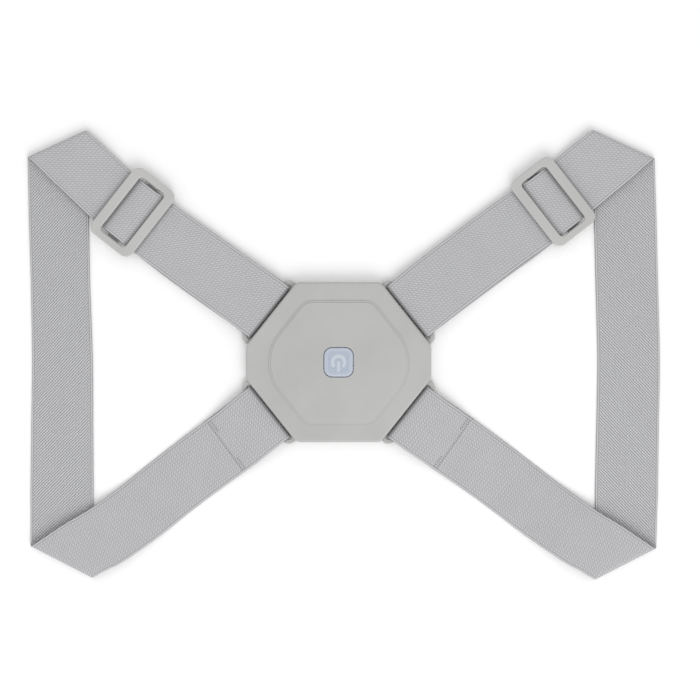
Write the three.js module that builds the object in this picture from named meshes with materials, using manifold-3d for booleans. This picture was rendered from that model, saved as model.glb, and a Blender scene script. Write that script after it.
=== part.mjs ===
// A posture corrector, laid flat on a surface with its front up, at its real size in millimetres.
// X runs across the back, Y towards the shoulders and Z up, away from the surface.
// The origin is the middle of the housing's flat back. An eight-sided plastic housing in two shells holds
// a push button. Each side has one elastic strap: sewn round the lower lug, folded over at the waist
// and at the shoulder, threaded over the slide adjuster, round the upper lug and back to the adjuster.

import * as THREE from "three";
import { mergeVertices } from "three/addons/utils/BufferGeometryUtils.js";
import Module from "manifold-3d";

const wasm = await Module();
wasm.setup();

// Housing, seen from the front
const housingWidth = 115;
const housingHeight = 99.4;
const diagonalReach = 51.4; // from the middle to each slanted side
const diagonalAngle = 38.5; // degrees, from X to the slanted side's normal
const housingCorner = 5;
const wall = 2;
const seamDepth = 0.3; // the groove where the two shells meet

// Housing, seen from the side
const backThickness = 4.6;
const backBevel = 1.2;
const rimHeight = 9.5;
const rimRound = 1.6;
const roof = 2;

// Raised six-sided panel on the front shell
const panelReachTop = 38.4;
const panelReachSlant = 40.3;
const panelCorner = 9.5;
const panelEndRadius = 27.5; // the two ends that point along X
const panelStepWidth = 1.8;
const panelStepHeight = 1.1;
const panelCrown = 0.5;

// Button
const buttonWidth = 18;
const buttonCorner = 5;
const buttonClearance = 0.45;
const buttonProud = 0.4;
const buttonRound = 0.8;
const flangeWidth = 1.4;
const flangeThickness = 1.2;

// Webbing
const strapWidth = 40;
const strapThickness = 1.5;
const layerGap = 0.3; // between webbing and whatever it passes

// Strap lugs on the back shell
const slotWidth = 3.4;
const slotSlack = 1.1; // at each end of the slot
const lugBarWidth = 3.1;
const lugBarThickness = 2.5;
const lugEndWall = 3.1;
const lugCorner = 5;
const lugLoop = 1.4; // how far the webbing reaches into the slot, in shares of its turn's radius

// Slide adjusters
const adjusterBar = 6.3; // the long outer bars
const adjusterEnd = 4.4; // the short outer bars
const adjusterWindow = 19.3; // along the strap
const adjusterSlack = 1.05; // at each end of the window
const adjusterThickness = 2.4;
const adjusterCorner = 5.5;
const adjusterWindowCorner = 2.5;
const adjusterRound = 0.6;
const centreBarWidth = 8;
const centreBarThickness = 1.8;

// Sewn ends of the straps
const lowerTab = 33.5; // from the lower lug's bar
const upperTab = 29.5; // from the adjuster's centre bar
const seamLength = 3;
const seamInset = 1; // from the webbing's edges

// The whole part as it lies
const spreadWidth = 395;
const spreadHeight = 280;

// Where each strap lies. The reaches are shares of half the spread's width and the heights of half its
// height, both from the housing's middle to the middle of a folded edge. The folds are in thicknesses
// of webbing, and the adjuster's share and sag are shares of its run. The drift of the return layer, the
// shift towards the shoulder of the layers inside the adjuster, and the widths are shares of the
// webbing's width.
const sides = [
  {
    name: "left",
    hand: -1,
    topReach: 0.8906,
    topHeight: 0.9736,
    middleReach: 0.8734,
    bottomReach: 0.8754,
    bottomHeight: 0.89,
    topFold: 2.8,
    bottomFold: 3.35,
    adjusterShare: 0.614,
    adjusterSag: 0.0245,
    returnDrift: 0.01,
    innerShift: 0,
    width: { lower: 1, waist: 0.96, shoulder: 0.915, upper: 0.94, adjuster: 0.96, lug: 1 },
  },
  {
    name: "right",
    hand: 1,
    topReach: 0.9008,
    topHeight: 0.9714,
    middleReach: 0.917,
    bottomReach: 0.9063,
    bottomHeight: 0.8986,
    topFold: 2.9,
    bottomFold: 3.6,
    adjusterShare: 0.658,
    adjusterSag: 0.007,
    returnDrift: 0.0225,
    innerShift: 0.0135,
    width: { lower: 1, waist: 0.935, shoulder: 0.945, upper: 0.975, adjuster: 1.01, lug: 1.01 },
  },
];

// The lower run, from the lug to the fold at the waist. "rise" goes from 0, on the surface, to 1, as
// high as the row's "of" height. Under each side's name is how far its strap bows outwards there, in
// shares of the webbing's width.
const lowerTwistFrom = 0.68; // the share of the run where the webbing starts to bend towards the fold
const tabRow = 1; // the row whose bow the sewn end underneath follows
const lowerRun = [
  { share: 0.06, of: "lug", rise: 0.94, left: 0.0075, right: 0.005 },
  { share: 0.14, of: "lug", rise: 0.66, left: 0.027, right: 0.002 },
  { share: 0.36, of: "fold", rise: 0.06, left: 0.03, right: 0.003 },
  { share: 0.5, of: "fold", rise: 0.02, left: 0.046, right: 0.022 },
  { share: 0.64, of: "fold", rise: 0.22, left: 0.073, right: 0.046 },
  { share: 0.8, of: "fold", rise: 0.78, left: 0.068, right: 0.045 },
  { share: 0.92, of: "fold", rise: 1, left: 0.025, right: 0.015 },
];

// The upright run lies flat, so its rows say how far each is from the upright's middle towards a folded
// end, and under each side's name the width there, in shares of the webbing's width.
const uprightRun = [
  { towards: "bottom", share: 0.65, left: 0.98, right: 0.98 },
  { towards: "bottom", share: 0.3, left: 0.96, right: 0.97 },
  { towards: "upright", share: 0, left: 0.942, right: 0.97 },
  { towards: "top", share: 0.35, left: 0.918, right: 0.97 },
  { towards: "top", share: 0.65, left: 0.93, right: 0.97 },
];

// The upper run in three parts. From the shoulder to the adjuster, "rise" is a share of the fold's height
// and "twist" of the fold's skew. From the adjuster to the lug it is a share of the height at the
// part's end, and "shift" is how many times the side's inner shift it lies from a straight line. On the
// way back under the run, "lift" is in layers above the surface.
const shoulderRun = [
  { share: 0.35, rise: 0.92, twist: 0.6 },
  { share: 0.7, rise: 0.78, twist: 0.15 },
];
const innerRun = [
  { share: 0.25, of: "adjuster", rise: 0.94, shift: 2.4 },
  { share: 0.55, of: "adjuster", rise: 0.92, shift: 2.8 },
  { share: 0.85, of: "lug", rise: 0.93, shift: 2.2 },
];
const underRun = [
  { share: 0.5, lift: 0, shift: 2.8 },
  { share: 0.8, lift: 0.35, shift: 2.4 },
];

// How the panel rises over its step and then crowns, in shares of the step's width and heights
const panelStep = [
  { inset: 0, rise: 0 },
  { inset: 0.5, rise: 0.62 },
  { inset: 1, rise: 1 },
];
const panelDome = [
  { scale: 0.75, rise: 0.62 },
  { scale: 0.45, rise: 1 },
];

// Materials
const shellPlastic = new THREE.MeshStandardMaterial({ color: 0xc9c9c6, roughness: 0.6, metalness: 0 });
const keyPlastic = new THREE.MeshStandardMaterial({ color: 0xd3dbe6, roughness: 0.35, metalness: 0 });
const webbing = new THREE.MeshStandardMaterial({ color: 0xc4c4c8, roughness: 0.95, metalness: 0 });

// Steps of the round shapes
const cornerSteps = 5;
const roundSteps = 3;
const turnSteps = 8;
const runSteps = 2; // stations for each row of a run

const radians = THREE.MathUtils.degToRad;
const clearance = layerGap + strapThickness / 2; // from a bar's surface to the middle of the webbing
const layerPitch = strapThickness + layerGap;
const layerHeight = (layer) => strapThickness / 2 + layer * layerPitch;

// Turns a closed three.js geometry into a solid, and back into a named mesh.
function solidOf(geometry) {
  const bare = geometry.clone();
  bare.deleteAttribute("normal");
  bare.deleteAttribute("uv");
  const merged = mergeVertices(bare, 1e-4);
  return new wasm.Manifold(
    new wasm.Mesh({
      numProp: 3,
      vertProperties: merged.attributes.position.array,
      triVerts: new Uint32Array(merged.index.array),
    }),
  );
}

function meshOf(solid, name, material) {
  const { vertProperties, triVerts, numProp } = solid.getMesh();
  const geometry = new THREE.BufferGeometry();
  const points = new THREE.InterleavedBuffer(vertProperties, numProp);
  geometry.setAttribute("position", new THREE.InterleavedBufferAttribute(points, 3, 0));
  geometry.setIndex(new THREE.BufferAttribute(triVerts, 1));
  const loose = geometry.toNonIndexed();
  loose.computeVertexNormals();
  const mesh = new THREE.Mesh(loose, material);
  mesh.name = name;
  return mesh;
}

// Joins rings that have the same number of points into one closed solid with flat ends.
function loft(rings) {
  const count = rings[0].length;
  const index = [];
  for (let ring = 0; ring + 1 < rings.length; ring++) {
    for (let i = 0; i < count; i++) {
      const [a, b] = [ring * count + i, ring * count + ((i + 1) % count)];
      index.push(a, b, b + count, a, b + count, a + count);
    }
  }
  const last = (rings.length - 1) * count;
  for (let i = 1; i + 1 < count; i++) {
    index.push(0, i + 1, i, last, last + i, last + i + 1);
  }
  const geometry = new THREE.BufferGeometry().setFromPoints(rings.flat());
  geometry.setIndex(index);
  return solidOf(geometry);
}

// A convex outline from its sides, each { angle, reach, radius }: the radius rounds the corner that
// follows the side. The inset moves every side inwards.
function outline(outlineSides, inset = 0) {
  const points = [];
  outlineSides.forEach((side, i) => {
    const next = outlineSides[(i + 1) % outlineSides.length];
    const [from, turn] = [radians(side.angle), radians((next.angle - side.angle + 360) % 360)];
    const radius = Math.max(side.radius - inset, seamDepth);
    const [a, b] = [side.reach - inset - radius, next.reach - inset - radius];
    const x = (a * Math.sin(from + turn) - b * Math.sin(from)) / Math.sin(turn);
    const y = (b * Math.cos(from) - a * Math.cos(from + turn)) / Math.sin(turn);
    for (let step = 0; step <= cornerSteps; step++) {
      const angle = from + (turn * step) / cornerSteps;
      points.push(new THREE.Vector2(x + radius * Math.cos(angle), y + radius * Math.sin(angle)));
    }
  });
  return points;
}

// Stacks outlines, each level { inset, z, scale }, into one solid.
function stack(outlineSides, levels) {
  return loft(
    levels.map(({ inset, z, scale = 1 }) =>
      outline(outlineSides, inset).map((p) => new THREE.Vector3(p.x * scale, p.y * scale, z)),
    ),
  );
}

// Levels that round the upper edge of a stack.
function roundedTop(top, radius, startInset = 0) {
  return Array.from({ length: roundSteps + 1 }, (_, step) => {
    const angle = (Math.PI / 2) * (step / roundSteps);
    return {
      inset: startInset + radius * (1 - Math.cos(angle)),
      z: top - radius * (1 - Math.sin(angle)),
    };
  });
}

const quarterTurns = [0, 90, 180, 270];
const square = (width, height, radius) =>
  quarterTurns.map((angle) => ({ angle, reach: (angle % 180 === 0 ? width : height) / 2, radius }));

const housingSides = quarterTurns.flatMap((angle) => [
  { angle, reach: (angle % 180 === 0 ? housingWidth : housingHeight) / 2, radius: housingCorner },
  {
    angle: angle % 180 === 0 ? angle + diagonalAngle : angle + 90 - diagonalAngle,
    reach: diagonalReach,
    radius: housingCorner,
  },
]);

const panelSides = [
  { angle: diagonalAngle, reach: panelReachSlant, radius: panelCorner },
  { angle: 90, reach: panelReachTop, radius: panelCorner },
  { angle: 180 - diagonalAngle, reach: panelReachSlant, radius: panelEndRadius },
  { angle: 180 + diagonalAngle, reach: panelReachSlant, radius: panelCorner },
  { angle: 270, reach: panelReachTop, radius: panelCorner },
  { angle: 360 - diagonalAngle, reach: panelReachSlant, radius: panelEndRadius },
];

// Heights that the pieces share
const lugTop = backThickness;
const lugBottom = lugTop - lugBarThickness;
const lugMiddle = (lugTop + lugBottom) / 2;
const panelEdge = rimHeight + panelStepHeight;
const panelTop = panelEdge + panelCrown;
const slotLength = strapWidth + 2 * slotSlack;

// The middle of each slanted side, in the quadrant given by the signs of X and Y. "out" points away
// from the housing and "along" follows the slot.
function slantedSide(signX, signY) {
  const angle = radians(diagonalAngle);
  const [cos, sin] = [Math.cos(angle), Math.sin(angle)];
  const onSide = new THREE.Vector2(housingWidth / 2, (diagonalReach - (housingWidth / 2) * cos) / sin);
  const onTop = new THREE.Vector2((diagonalReach - (housingHeight / 2) * sin) / cos, housingHeight / 2);
  const middle = onSide.add(onTop).divideScalar(2);
  return {
    middle: new THREE.Vector2(signX * middle.x, signY * middle.y),
    out: new THREE.Vector2(signX * cos, signY * sin),
  };
}

// A flat plate with rounded corners: outer and hole are { x0, x1, halfY, radius } in its own plane.
function plate({ outer, hole, bottom, top, round }) {
  const rectangle = ({ x0, x1, halfY, radius }, inset) => {
    const [width, height] = [x1 - x0 - 2 * inset, 2 * (halfY - inset)];
    const middle = new THREE.Vector2((x0 + x1) / 2, 0);
    return outline(square(width, height, radius - inset)).map((p) => p.add(middle));
  };
  const shape = new THREE.Shape(rectangle(outer, round));
  if (hole) shape.holes.push(new THREE.Path(rectangle(hole, -round).reverse()));
  const geometry = new THREE.ExtrudeGeometry(shape, {
    depth: top - bottom - 2 * round,
    bevelEnabled: round > 0,
    bevelThickness: round,
    bevelSize: round,
    bevelSegments: 2,
    steps: 1,
  });
  return solidOf(geometry.translate(0, 0, bottom + round));
}

// A bar of round-edged section that runs along Y. Its section is centred on x and z.
function roundEdgedBar({ width, thickness, length, x, z }) {
  const radius = thickness / 2;
  const flat = width / 2 - radius;
  const section = new THREE.Shape();
  section.absarc(flat, 0, radius, -Math.PI / 2, Math.PI / 2);
  section.absarc(-flat, 0, radius, Math.PI / 2, (3 * Math.PI) / 2);
  const geometry = new THREE.ExtrudeGeometry(section, {
    depth: length,
    bevelEnabled: false,
    curveSegments: turnSteps,
  });
  geometry.translate(0, 0, -length / 2).rotateX(-Math.PI / 2);
  return solidOf(geometry.translate(x, 0, z));
}

const box = (x0, x1, halfY, z0, z1) =>
  solidOf(new THREE.BoxGeometry(x1 - x0, 2 * halfY, z1 - z0).translate((x0 + x1) / 2, 0, (z0 + z1) / 2));

// One lug in its own plane: X points out of the housing from its slanted side, Y along the slot.
function lug() {
  const reach = slotWidth + lugBarWidth;
  const halfLength = slotLength / 2 + lugEndWall;
  const body = plate({
    outer: { x0: -lugEndWall - lugCorner, x1: reach, halfY: halfLength, radius: lugCorner },
    bottom: lugBottom,
    top: lugTop,
    round: seamDepth,
  });
  const slot = box(0, slotWidth + lugBarThickness / 2, slotLength / 2, lugBottom - wall, lugTop + wall);
  const bar = roundEdgedBar({
    width: lugBarThickness + seamDepth,
    thickness: lugBarThickness,
    length: slotLength + seamDepth,
    x: slotWidth + (lugBarThickness + seamDepth) / 2,
    z: lugMiddle,
  });
  return body.subtract(slot).add(bar);
}

function backShell() {
  let shell = stack(housingSides, [
    { inset: backBevel, z: 0 },
    { inset: 0, z: backBevel },
    { inset: 0, z: backThickness - seamDepth },
    { inset: seamDepth, z: backThickness },
  ]);
  for (const signX of [-1, 1]) {
    for (const signY of [-1, 1]) {
      const { middle, out } = slantedSide(signX, signY);
      const turned = lug().rotate([0, 0, THREE.MathUtils.radToDeg(out.angle())]);
      shell = shell.add(turned.translate([middle.x, middle.y, 0]));
    }
  }
  const cavity = stack(housingSides, [
    { inset: wall + seamDepth, z: wall },
    { inset: wall + seamDepth, z: backThickness + wall },
  ]);
  return meshOf(shell.subtract(cavity), "back_shell", shellPlastic);
}

function frontShell() {
  const rim = stack(housingSides, [
    { inset: seamDepth, z: backThickness },
    { inset: 0, z: backThickness + seamDepth },
    ...roundedTop(rimHeight, rimRound),
  ]);
  const panel = stack(panelSides, [
    { inset: 0, z: rimHeight - roof / 2 },
    ...panelStep.map(({ inset, rise }) => ({
      inset: inset * panelStepWidth,
      z: rimHeight + rise * panelStepHeight,
    })),
    ...panelDome.map(({ scale, rise }) => ({
      inset: panelStepWidth,
      z: panelEdge + rise * panelCrown,
      scale,
    })),
  ]);
  const cavity = stack(housingSides, [
    { inset: wall + seamDepth, z: wall },
    { inset: wall + seamDepth, z: rimHeight - roof },
  ]);
  const hole = buttonWidth + 2 * buttonClearance;
  const opening = stack(square(hole, hole, buttonCorner + buttonClearance), [
    { inset: 0, z: rimHeight - 2 * roof },
    { inset: 0, z: panelTop + roof },
  ]);
  return meshOf(rim.add(panel).subtract(cavity).subtract(opening), "front_shell", shellPlastic);
}

function powerButton() {
  const flange = buttonWidth + 2 * (buttonClearance + flangeWidth);
  const flangeTop = rimHeight - roof - layerGap;
  const cap = stack(square(buttonWidth, buttonWidth, buttonCorner), [
    { inset: 0, z: flangeTop - flangeThickness },
    ...roundedTop(panelTop + buttonProud, buttonRound),
  ]);
  const rim = stack(square(flange, flange, buttonCorner + flangeWidth), [
    { inset: 0, z: flangeTop - flangeThickness },
    { inset: 0, z: flangeTop },
  ]);
  return meshOf(cap.add(rim), "power_button", keyPlastic);
}

// Slide adjuster. Its centre bar sits low enough for one layer of webbing to pass under it, and its
// outer bars high enough for three layers to pass under them.
const centreBarBottom = layerHeight(0) + clearance;
const centreBarTop = centreBarBottom + centreBarThickness;
const centreBarMiddle = (centreBarTop + centreBarBottom) / 2;
const adjusterBottom = layerHeight(2) + clearance;
const adjusterTop = adjusterBottom + adjusterThickness;
const windowLength = strapWidth + 2 * adjusterSlack;

function slideAdjuster(name, place) {
  const halfWindow = adjusterWindow / 2;
  const halfFrame = halfWindow + adjusterBar;
  const halfLength = windowLength / 2 + adjusterEnd;
  const frame = plate({
    outer: { x0: -halfFrame, x1: halfFrame, halfY: halfLength, radius: adjusterCorner },
    hole: { x0: -halfWindow, x1: halfWindow, halfY: windowLength / 2, radius: adjusterWindowCorner },
    bottom: adjusterBottom,
    top: adjusterTop,
    round: adjusterRound,
  });
  const barLength = windowLength + adjusterEnd;
  const bar = roundEdgedBar({
    width: centreBarWidth,
    thickness: centreBarThickness,
    length: barLength,
    x: 0,
    z: centreBarMiddle,
  });
  const postInside = windowLength / 2 + adjusterRound;
  const posts = box(
    -centreBarWidth / 2,
    centreBarWidth / 2,
    halfLength - adjusterRound,
    centreBarBottom,
    adjusterTop - adjusterRound,
  ).subtract(box(-centreBarWidth, centreBarWidth, postInside, 0, adjusterTop + adjusterBar));
  const mesh = meshOf(frame.add(bar).add(posts), name, shellPlastic);
  mesh.position.set(place.middle.x, place.middle.y, 0);
  mesh.rotation.z = place.direction.angle();
  return mesh;
}

// A ribbon of webbing is a list of stations: the middle of the webbing and the half ruling, a vector
// from the middle to one edge. "side" says which way round the webbing's face is, 1 for front up.
const perpendicular = (direction) => new THREE.Vector2(-direction.y, direction.x);

function halfRuling(direction, side, skew, width) {
  const across = perpendicular(direction).multiplyScalar(side).addScaledVector(direction, skew);
  return new THREE.Vector3(across.x, across.y, 0).multiplyScalar(width / 2);
}

// Stations along a smooth curve through points { at: Vector3, skew, width }. The direction of travel at
// either end can be given; elsewhere it is the curve's own.
function run(rows, side, { start, end } = {}) {
  const curve = new THREE.CatmullRomCurve3(rows.map((row) => row.at));
  const steps = (rows.length - 1) * runSteps;
  return Array.from({ length: steps + 1 }, (_, step) => {
    const share = step / steps;
    const slope = curve.getTangent(share);
    let direction = new THREE.Vector2(slope.x, slope.y).normalize();
    if (step === 0 && start) direction = start;
    if (step === steps && end) direction = end;
    const row = Math.min(Math.floor(step / runSteps), rows.length - 2);
    const between = step / runSteps - row;
    const skew = THREE.MathUtils.lerp(rows[row].skew ?? 0, rows[row + 1].skew ?? 0, between);
    const width = THREE.MathUtils.lerp(rows[row].width, rows[row + 1].width, between);
    const point = curve.getPoint(share);
    point.z = Math.max(point.z, layerHeight(0));
    return { at: point, half: halfRuling(direction, side, skew, width) };
  });
}

// Stations half way round a bar that lies across the webbing: from one height to another, turning
// inwards against "out". A loop over 1 is a slack turn.
function wrap({ middle, out, z, radius, fromTop, side, width, loop = 1 }) {
  const half = halfRuling(out, fromTop ? -side : side, 0, width);
  return Array.from({ length: turnSteps + 1 }, (_, step) => {
    const angle = Math.PI * (step / turnSteps);
    const back = Math.sin(angle) * radius * loop;
    const up = Math.cos(angle) * radius * (fromTop ? 1 : -1);
    return { at: new THREE.Vector3(middle.x - out.x * back, middle.y - out.y * back, z + up), half };
  });
}

// A fold turns the webbing over about a crease half way between its two directions, with the two
// layers "height" apart. "crease" is the middle of the folded edge as seen from above.
function fold({ crease, before, after, low, height, upwards, side, width }) {
  const line = before.clone().add(after).normalize();
  const outwards = before.clone().sub(after).normalize();
  const [cos, sin] = [before.dot(line), before.dot(outwards)];
  const hand = Math.sign(perpendicular(line).dot(outwards));
  const radius = height / 2;
  const middle = crease.clone().addScaledVector(outwards, -radius - strapThickness / 2);
  const half = new THREE.Vector3(line.x, line.y, 0).multiplyScalar((-hand * side * width) / 2 / sin);
  const stations = Array.from({ length: turnSteps + 1 }, (_, step) => {
    const angle = Math.PI * (step / turnSteps);
    const drift = (angle - Math.PI / 2) * radius * (cos / sin);
    const at = middle.clone().addScaledVector(line, drift);
    at.addScaledVector(outwards, Math.sin(angle) * radius);
    const z = low + radius - Math.cos(angle) * radius * (upwards ? 1 : -1);
    return { at: new THREE.Vector3(at.x, at.y, z), half };
  });
  return { stations, skew: (-hand * side * cos) / sin };
}

// The solid of a ribbon: a rectangular section at each station.
function ribbon(stations) {
  const spaced = stations.filter((s, i) => i === 0 || s.at.distanceTo(stations[i - 1].at) > 1e-3);
  const rings = spaced.map((station, i) => {
    const before = spaced[Math.max(i - 1, 0)].at;
    const after = spaced[Math.min(i + 1, spaced.length - 1)].at;
    const normal = after.clone().sub(before).cross(station.half).setLength(strapThickness / 2);
    const corner = (across, up) =>
      station.at.clone().addScaledVector(station.half, across).addScaledVector(normal, up);
    return [corner(-1, -1), corner(1, -1), corner(1, 1), corner(-1, 1)];
  });
  return loft(rings);
}

// Where the lugs, the adjuster and the folds of one side lie.
function layout(side) {
  const onSide = (reach, height) =>
    new THREE.Vector2((side.hand * reach * spreadWidth) / 2, (height * spreadHeight) / 2);
  const barReach = slotWidth + lugBarThickness / 2;
  const lugAt = (signY) => {
    const { middle, out } = slantedSide(side.hand, signY);
    return { middle: middle.addScaledVector(out, barReach), out };
  };
  const [upper, lower] = [lugAt(1), lugAt(-1)];
  const top = onSide(side.topReach, side.topHeight);
  const bottom = onSide(side.bottomReach, -side.bottomHeight);
  const upright = onSide(side.middleReach, 0);
  const reach = top.clone().sub(upper.middle);
  const inwards = perpendicular(reach).multiplyScalar(-side.hand);
  const middle = upper.middle
    .clone()
    .addScaledVector(reach, side.adjusterShare)
    .addScaledVector(inwards, side.adjusterSag);
  const outer = top.clone().sub(middle).normalize();
  const inner = middle.clone().sub(upper.middle).normalize();
  const direction = inner.multiplyScalar(2).add(outer).normalize();
  return { upper, lower, top, upright, bottom, adjuster: { middle, direction } };
}

const at = (plan, z) => new THREE.Vector3(plan.x, plan.y, z);
const between = (from, to, share) => from.clone().lerp(to, share);

function strap(side) {
  const { upper, lower, top, upright, bottom, adjuster } = layout(side);
  const widths = {};
  for (const [place, share] of Object.entries(side.width)) widths[place] = strapWidth * share;

  const overLug = lugTop + clearance;
  const underLug = lugBottom - clearance;
  const lugWrap = (overLug - underLug) / 2;
  const floor = layerHeight(0);

  // Sewn end under the lower lug, from the seam to the bar
  const away = bottom.clone().sub(lower.middle).normalize();
  const bowOut = perpendicular(away).multiplyScalar(-side.hand * strapWidth);
  const tabBow = bowOut.clone().multiplyScalar(lowerRun[tabRow][side.name]);
  const tabEnd = lower.middle.clone().addScaledVector(away, lowerTab).add(tabBow);
  const tabMiddle = between(lower.middle, tabEnd, 0.5);
  const pastBar = lower.middle.clone().addScaledVector(lower.out, lugBarWidth);
  const lowerReturn = run(
    [
      { at: at(tabEnd, floor), width: widths.lower },
      { at: at(tabMiddle, floor), width: widths.lower },
      { at: at(pastBar, underLug), width: widths.lower },
      { at: at(lower.middle, underLug), width: widths.lower },
    ],
    -1,
    { end: lower.out.clone().negate() },
  );
  const roundLower = wrap({
    ...lower,
    z: lugMiddle,
    radius: lugWrap,
    fromTop: false,
    side: 1,
    width: widths.lower,
    loop: lugLoop,
  });

  // Folds at the waist and the shoulder
  const uprightUp = upright.clone().sub(bottom).normalize();
  const uprightTop = top.clone().sub(upright).normalize();
  const waist = fold({
    crease: bottom,
    before: away,
    after: uprightUp,
    low: floor,
    height: side.bottomFold * strapThickness,
    upwards: false,
    side: 1,
    width: widths.waist,
  });
  const shoulder = fold({
    crease: top,
    before: uprightTop,
    after: adjuster.middle.clone().sub(top).normalize(),
    low: floor,
    height: side.topFold * strapThickness,
    upwards: true,
    side: -1,
    width: widths.shoulder,
  });
  const first = (stations) => stations[0].at;
  const last = (stations) => stations[stations.length - 1].at;

  // Lower run, from the lug to the waist
  const waistPlan = new THREE.Vector2(first(waist.stations).x, first(waist.stations).y);
  const heights = { lug: overLug - floor, fold: side.bottomFold * strapThickness };
  const seamHeight = floor + layerPitch;
  const lowerRows = lowerRun.map((row) => ({
    share: row.share,
    bow: row[side.name],
    z: floor + heights[row.of] * row.rise,
  }));
  const seamShare = (lowerTab - seamLength) / waistPlan.distanceTo(lower.middle);
  const afterSeam = lowerRows.findIndex((row) => row.share > seamShare);
  const [near, far] = [lowerRows[afterSeam - 1], lowerRows[afterSeam]];
  const seamBow = THREE.MathUtils.mapLinear(seamShare, near.share, far.share, near.bow, far.bow);
  lowerRows.splice(afterSeam, 0, { share: seamShare, bow: seamBow, z: seamHeight });
  const lowerOut = run(
    [
      { at: at(lower.middle, overLug), width: widths.lower },
      ...lowerRows.map(({ share, bow, z }) => ({
        at: at(between(lower.middle, waistPlan, share).addScaledVector(bowOut, bow), z),
        skew: waist.skew * THREE.MathUtils.smoothstep(share, lowerTwistFrom, 1),
        width: THREE.MathUtils.lerp(widths.lower, widths.waist, share),
      })),
      { at: first(waist.stations), skew: waist.skew, width: widths.waist },
    ],
    1,
    { start: lower.out, end: away },
  );

  // Upright run, face down on the surface
  const ends = { bottom, upright, top };
  const uprightOut = run(
    [
      { at: last(waist.stations), skew: waist.skew, width: widths.waist },
      ...uprightRun.map((row) => ({
        at: at(between(upright, ends[row.towards], row.share), floor),
        width: strapWidth * row[side.name],
      })),
      { at: first(shoulder.stations), skew: shoulder.skew, width: widths.shoulder },
    ],
    -1,
    { start: uprightUp, end: uprightTop },
  );

  // Upper run: over the upright, under, over and under the adjuster's bars, and on to the upper lug.
  // Distances from the adjuster's middle are positive towards the lug.
  const alongAdjuster = (distance) => adjuster.middle.clone().addScaledVector(adjuster.direction, -distance);
  const halfBar = centreBarWidth / 2;
  const edge = halfBar - centreBarThickness / 2; // where the centre bar's round edge starts
  const halfWindow = adjusterWindow / 2;
  const halfWay = (halfWindow + halfBar) / 2;
  const frameHalf = halfWindow + adjusterBar;
  const overBar = centreBarTop + clearance;
  const overLayer = overBar + layerPitch;
  const underFrame = layerHeight(2);
  const turned = adjuster.direction.clone().negate();
  const shoulderEnd = last(shoulder.stations);
  const shoulderPlan = new THREE.Vector2(shoulderEnd.x, shoulderEnd.y);
  const innerShift = side.hand * side.innerShift * strapWidth;
  const lugPlan = upper.middle.clone().addScaledVector(perpendicular(upper.out), innerShift);
  const shift = perpendicular(adjuster.direction).multiplyScalar(innerShift);
  const frameOuter = alongAdjuster(-frameHalf);
  const frameInner = alongAdjuster(frameHalf + layerGap);
  const upperFold = shoulderEnd.z;
  const innerHeights = { adjuster: underFrame, lug: overLug };
  const upperOut = run(
    [
      { at: shoulderEnd, skew: shoulder.skew, width: widths.shoulder },
      ...shoulderRun.map(({ share, rise, twist }) => ({
        at: at(between(shoulderPlan, frameOuter, share), upperFold * rise),
        skew: shoulder.skew * twist,
      })),
      { at: at(frameOuter, underFrame - layerGap * 2) },
      { at: at(alongAdjuster(-halfWindow), underFrame - layerGap) },
      { at: at(alongAdjuster(-halfWay - layerGap), (overLayer + underFrame) / 2) },
      { at: at(alongAdjuster(-edge), overLayer) },
      { at: at(alongAdjuster(halfBar), overLayer) },
      { at: at(alongAdjuster(halfWay), (overLayer + underFrame) / 2), width: widths.adjuster },
      { at: at(alongAdjuster(halfWindow), underFrame), width: widths.adjuster },
      { at: at(frameInner.clone().add(shift), underFrame), width: widths.adjuster },
      ...innerRun.map((row) => ({
        at: at(
          between(frameInner, upper.middle, row.share).addScaledVector(shift, row.shift),
          innerHeights[row.of] * row.rise,
        ),
        width: THREE.MathUtils.lerp(widths.adjuster, widths.lug, row.share),
      })),
      { at: at(lugPlan, overLug), width: widths.lug },
    ].map((row) => ({ width: widths.upper, ...row })),
    1,
    { end: upper.out.clone().negate() },
  );
  const roundUpper = wrap({
    middle: lugPlan,
    out: upper.out,
    z: lugMiddle,
    radius: lugWrap,
    fromTop: true,
    side: 1,
    width: widths.lug,
    loop: lugLoop,
  });

  // Return layer, from under the lug to the adjuster's centre bar and round it to the sewn end
  const overTab = layerHeight(1);
  const drift = perpendicular(adjuster.direction).multiplyScalar(-side.hand * side.returnDrift * strapWidth);
  const tabFrom = alongAdjuster(upperTab);
  const barRadius = centreBarThickness / 2 + clearance;
  const returnRun = run(
    [
      { at: at(lugPlan, underLug), width: widths.lug },
      { at: at(lugPlan.clone().addScaledVector(upper.out, lugBarWidth), underLug), width: widths.lug },
      ...underRun.map((row) => ({
        at: at(
          between(upper.middle, tabFrom, row.share).add(drift).addScaledVector(shift, row.shift),
          layerHeight(row.lift),
        ),
        width: THREE.MathUtils.lerp(widths.lug, widths.adjuster, row.share),
      })),
      { at: at(tabFrom, overTab) },
      { at: at(alongAdjuster(frameHalf), overTab) },
      { at: at(alongAdjuster(halfWindow), overTab) },
      { at: at(alongAdjuster(halfWay), (overBar + overTab) / 2) },
      { at: at(alongAdjuster(halfBar), overBar) },
      { at: at(alongAdjuster(-edge), overBar) },
    ].map((row) => ({ width: widths.adjuster, ...row })),
    -1,
    { start: upper.out, end: adjuster.direction },
  );
  const roundBar = wrap({
    middle: alongAdjuster(-edge),
    out: turned,
    z: centreBarMiddle,
    radius: barRadius,
    fromTop: true,
    side: -1,
    width: widths.adjuster,
  });
  const tab = run(
    [
      { at: at(alongAdjuster(-edge), floor) },
      { at: at(alongAdjuster(halfWindow), floor) },
      { at: at(alongAdjuster(upperTab), floor) },
    ].map((row) => ({ ...row, width: widths.adjuster })),
    1,
    { start: turned, end: turned },
  );

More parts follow.
